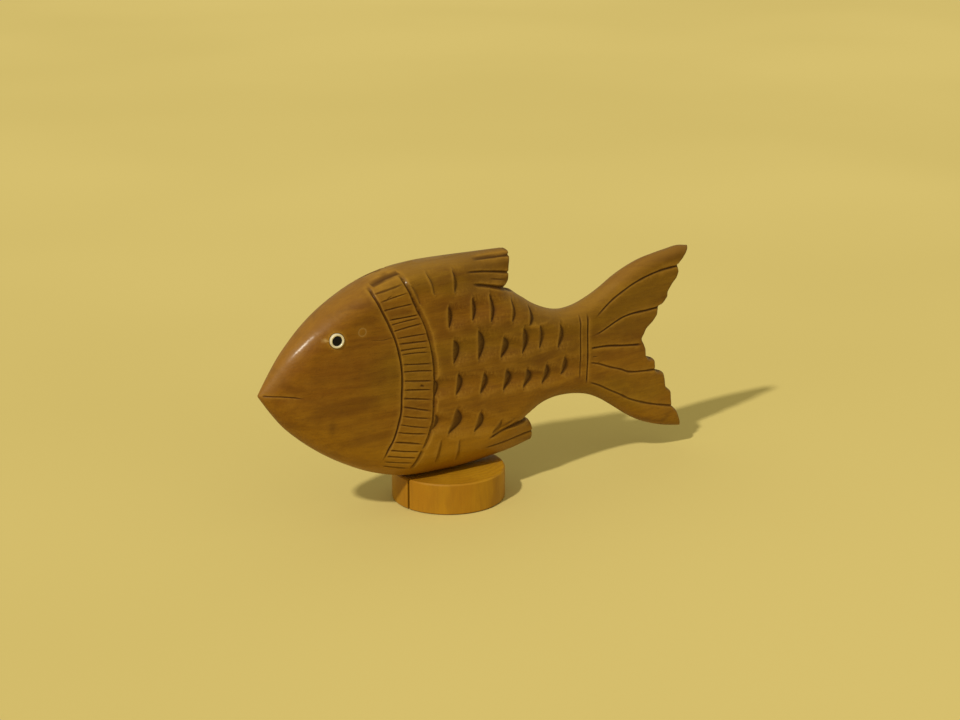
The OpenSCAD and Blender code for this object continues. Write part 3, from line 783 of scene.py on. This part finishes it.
def rim_row(offset, step):
    """Points at one distance inside the outline."""
    loop = np.vstack([outline, outline[:1]])
    travel = np.concatenate([[0], np.cumsum(np.hypot(*np.diff(loop, axis=0).T))])
    places = np.arange(0, travel[-1], step)
    spots = np.stack([np.interp(places, travel, loop[:, k]) for k in (0, 1)], 1)
    ahead = np.roll(spots, -1, axis=0) - np.roll(spots, 1, axis=0)
    inward = np.stack([ahead[:, 1], -ahead[:, 0]], 1) / np.hypot(ahead[:, 0], ahead[:, 1])[:, None]
    row = spots + offset * inward
    row = row[is_inside(row, outline)]
    return row[near(row, loop)[0] > 0.85 * offset]


def triangulate(inner):
    """Triangles that fill the outline and use every inner point. Outline points come first."""
    count = len(outline)
    points = np.vstack([outline, inner])
    edges = [(i, (i + 1) % count) for i in range(count)]
    found = delaunay_2d_cdt([Vector(p) for p in points], edges, [], 1, 1e-5)
    places = np.array([tuple(p) for p in found[0]])
    sources = np.array([source[0] if source else -1 for source in found[3]])
    triangles = np.array(found[2])
    a, b, c = (places[triangles[:, k]] for k in range(3))
    area = (b[:, 0] - a[:, 0]) * (c[:, 1] - a[:, 1]) - (b[:, 1] - a[:, 1]) * (c[:, 0] - a[:, 0])
    triangles[area < 0] = triangles[area < 0][:, ::-1]
    triangles = triangles[np.abs(area) > 1e-7]
    is_edge = (sources >= 0) & (sources < count)
    return places, triangles, is_edge, sources


def carved_side(side):
    """Points, thickness, carving and triangles of one side of the fish."""
    grooves = fixed_grooves() + rungs(side)
    cuts = scale_cuts(side)
    places, triangles, is_edge, sources = triangulate(side_points(side, grooves, cuts))
    distances = edge_distances(places)
    half = half_thickness(places, distances)
    half[is_edge] = 0
    depth, dark = carve(places, grooves, cuts)
    eye = np.hypot(*(places - EYE_PLACE).T)
    depth += (EYE_SOCKET_DEPTH * (eye < EYE_RADIUS)
              + EYE_DISH_DEPTH * ease(eye, EYE_RADIUS + 0.5, EYE_RADIUS))
    dark = np.maximum(dark, EYE_EDGE_DARKNESS * ease(eye, EYE_RADIUS + 0.55, EYE_RADIUS + 0.1))
    ring = np.abs(np.hypot(*(places - RING_MARK).T) - RING_MARK_RADIUS)
    pale = RING_MARK_PALENESS * ease(ring, 0.5, 0.1)
    depth += RING_MARK_DEPTH * ease(ring, 0.5, 0.1)
    scratch = near(places, curve_through(SCRATCH, 0.5))[0]
    faded = ease(places[:, 0], -93, -87)
    pale = np.maximum(pale, SCRATCH_PALENESS * ease(scratch, 0.35, 0.1) * faded)
    across, up = (places[:, k] - SMUDGE[k] for k in (0, 1))
    smudge = np.exp(-(across / SMUDGE_SIZE[0]) ** 2 - (up / SMUDGE_SIZE[1]) ** 2)
    dark = np.maximum(dark, SMUDGE_DARKNESS * smudge)
    upper, lower, cut = distances
    dark = np.maximum(dark, CUT_EDGE_DARKNESS * ease(cut, 1.8, 0.2))
    # Painted sheen, with lighter wood, in a band along the back
    crown = ease(upper, SHEEN_BAND_WIDTH, 0.5)
    waves = sum(share * ripple(places, length, seed + side)
                for share, length, seed in (BROAD_WAVES, SHORT_WAVES))
    waves *= ease(upper, 0, 4) * ease(lower, 0, 4)
    depth += WAVES_SHARE * waves
    return places, triangles, is_edge, sources, half, depth, dark, pale, crown


def raised(depth, triangles):
    """How far each point stands above its neighbours: 0 on flats, 1 on a cut's sharp edge."""
    starts = triangles.ravel()
    ends = triangles[:, [1, 2, 0]].ravel()
    size = len(depth)
    count = np.bincount(starts, minlength=size) + np.bincount(ends, minlength=size)
    around = depth.copy()
    for _ in range(EDGE_HIGHLIGHT_ROUNDS):
        total = np.bincount(starts, around[ends], size) + np.bincount(ends, around[starts], size)
        around = total / np.maximum(count, 1)
    return np.clip((around - depth) / EDGE_HIGHLIGHT_HEIGHT, 0, 1)


def face_normals_at_points(points, triangles):
    a, b, c = (points[triangles[:, k]] for k in range(3))
    normals = np.cross(b - a, c - a)
    total = np.zeros_like(points)
    for k in range(3):
        np.add.at(total, triangles[:, k], normals)
    lengths = np.linalg.norm(total, axis=1)
    return total / np.maximum(lengths, 1e-12)[:, None]


def build_mesh(name, points, faces, marks, material):
    """A smooth-shaded mesh object from points in millimetres, with numbers stored on them."""
    data = bpy.data.meshes.new(name)
    data.from_pydata((points * MM).tolist(), [], [tuple(face) for face in faces])
    for mark, values in marks.items():
        layer = data.attributes.new(mark, "FLOAT", "POINT")
        layer.data.foreach_set("value", np.asarray(values, np.float32))
    data.polygons.foreach_set("use_smooth", [True] * len(data.polygons))
    data.materials.append(material)
    data.update()
    piece = bpy.data.objects.new(name, data)
    bpy.context.scene.collection.objects.link(piece)
    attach(piece, "root")
    return piece


def carved_fish(material):
    """Both carved sides, joined along the outline."""
    count = len(outline)
    points = [np.stack([outline[:, 0], np.zeros(count), outline[:, 1]], 1)]
    marks = {"depth": [np.zeros(count)], "cut": [np.zeros(count)], "pale": [np.zeros(count)],
             "crown": [np.zeros(count)]}
    faces = []
    start = count
    for side in (LEFT, RIGHT):
        places, triangles, is_edge, sources, half, depth, dark, pale, crown = carved_side(side)
        number = np.empty(len(places), int)
        number[is_edge] = sources[is_edge]
        number[~is_edge] = start + np.arange((~is_edge).sum())
        start += (~is_edge).sum()
        inner = ~is_edge
        points.append(np.stack([places[inner, 0], side * half[inner], places[inner, 1]], 1))
        # The cut darkness is stain with painted shade, and the band along the back is painted sheen
        # with lighter wood
        for mark, values in (("depth", depth), ("cut", dark), ("pale", pale), ("crown", crown)):
            marks[mark][0][sources[is_edge]] = values[is_edge]
            marks[mark].append(values[inner])
        ordered = number[triangles]
        faces.append(ordered if side == LEFT else ordered[:, ::-1])
    points = np.vstack(points)
    faces = np.vstack(faces)
    marks = {mark: np.concatenate(values) for mark, values in marks.items()}
    depth = marks.pop("depth")
    # Painted highlight on the raised edges of the cuts
    marks["edge_highlight"] = raised(depth, faces)
    points -= face_normals_at_points(points, faces) * depth[:, None]
    points[:, 2] += BELLY_REST
    return build_mesh("carved_fish", points, faces, marks, material)


# ---- main ----
add_camera()
add_lamp()
add_air()
bpy.context.scene.view_settings.view_transform = "Standard"
add_floor(floor_paper())

fish = carved_fish(fish_wood())
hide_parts("fish_body")

MATERIALS = {"eye_white": eye_white(), "eye_black": eye_black(), "screw_steel": screw_steel(),
             "stand_wood": stand_wood()}
for node, slot in (("left_eye_ring", "eye_white"), ("right_eye_ring", "eye_white"),
                   ("left_eye_pupil", "eye_black"), ("right_eye_pupil", "eye_black"),
                   ("stand_block", "stand_wood"), ("front_screw", "screw_steel"),
                   ("rear_screw", "screw_steel")):
    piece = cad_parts[node]
    piece.data.materials.clear()
    piece.data.materials.append(MATERIALS[slot])
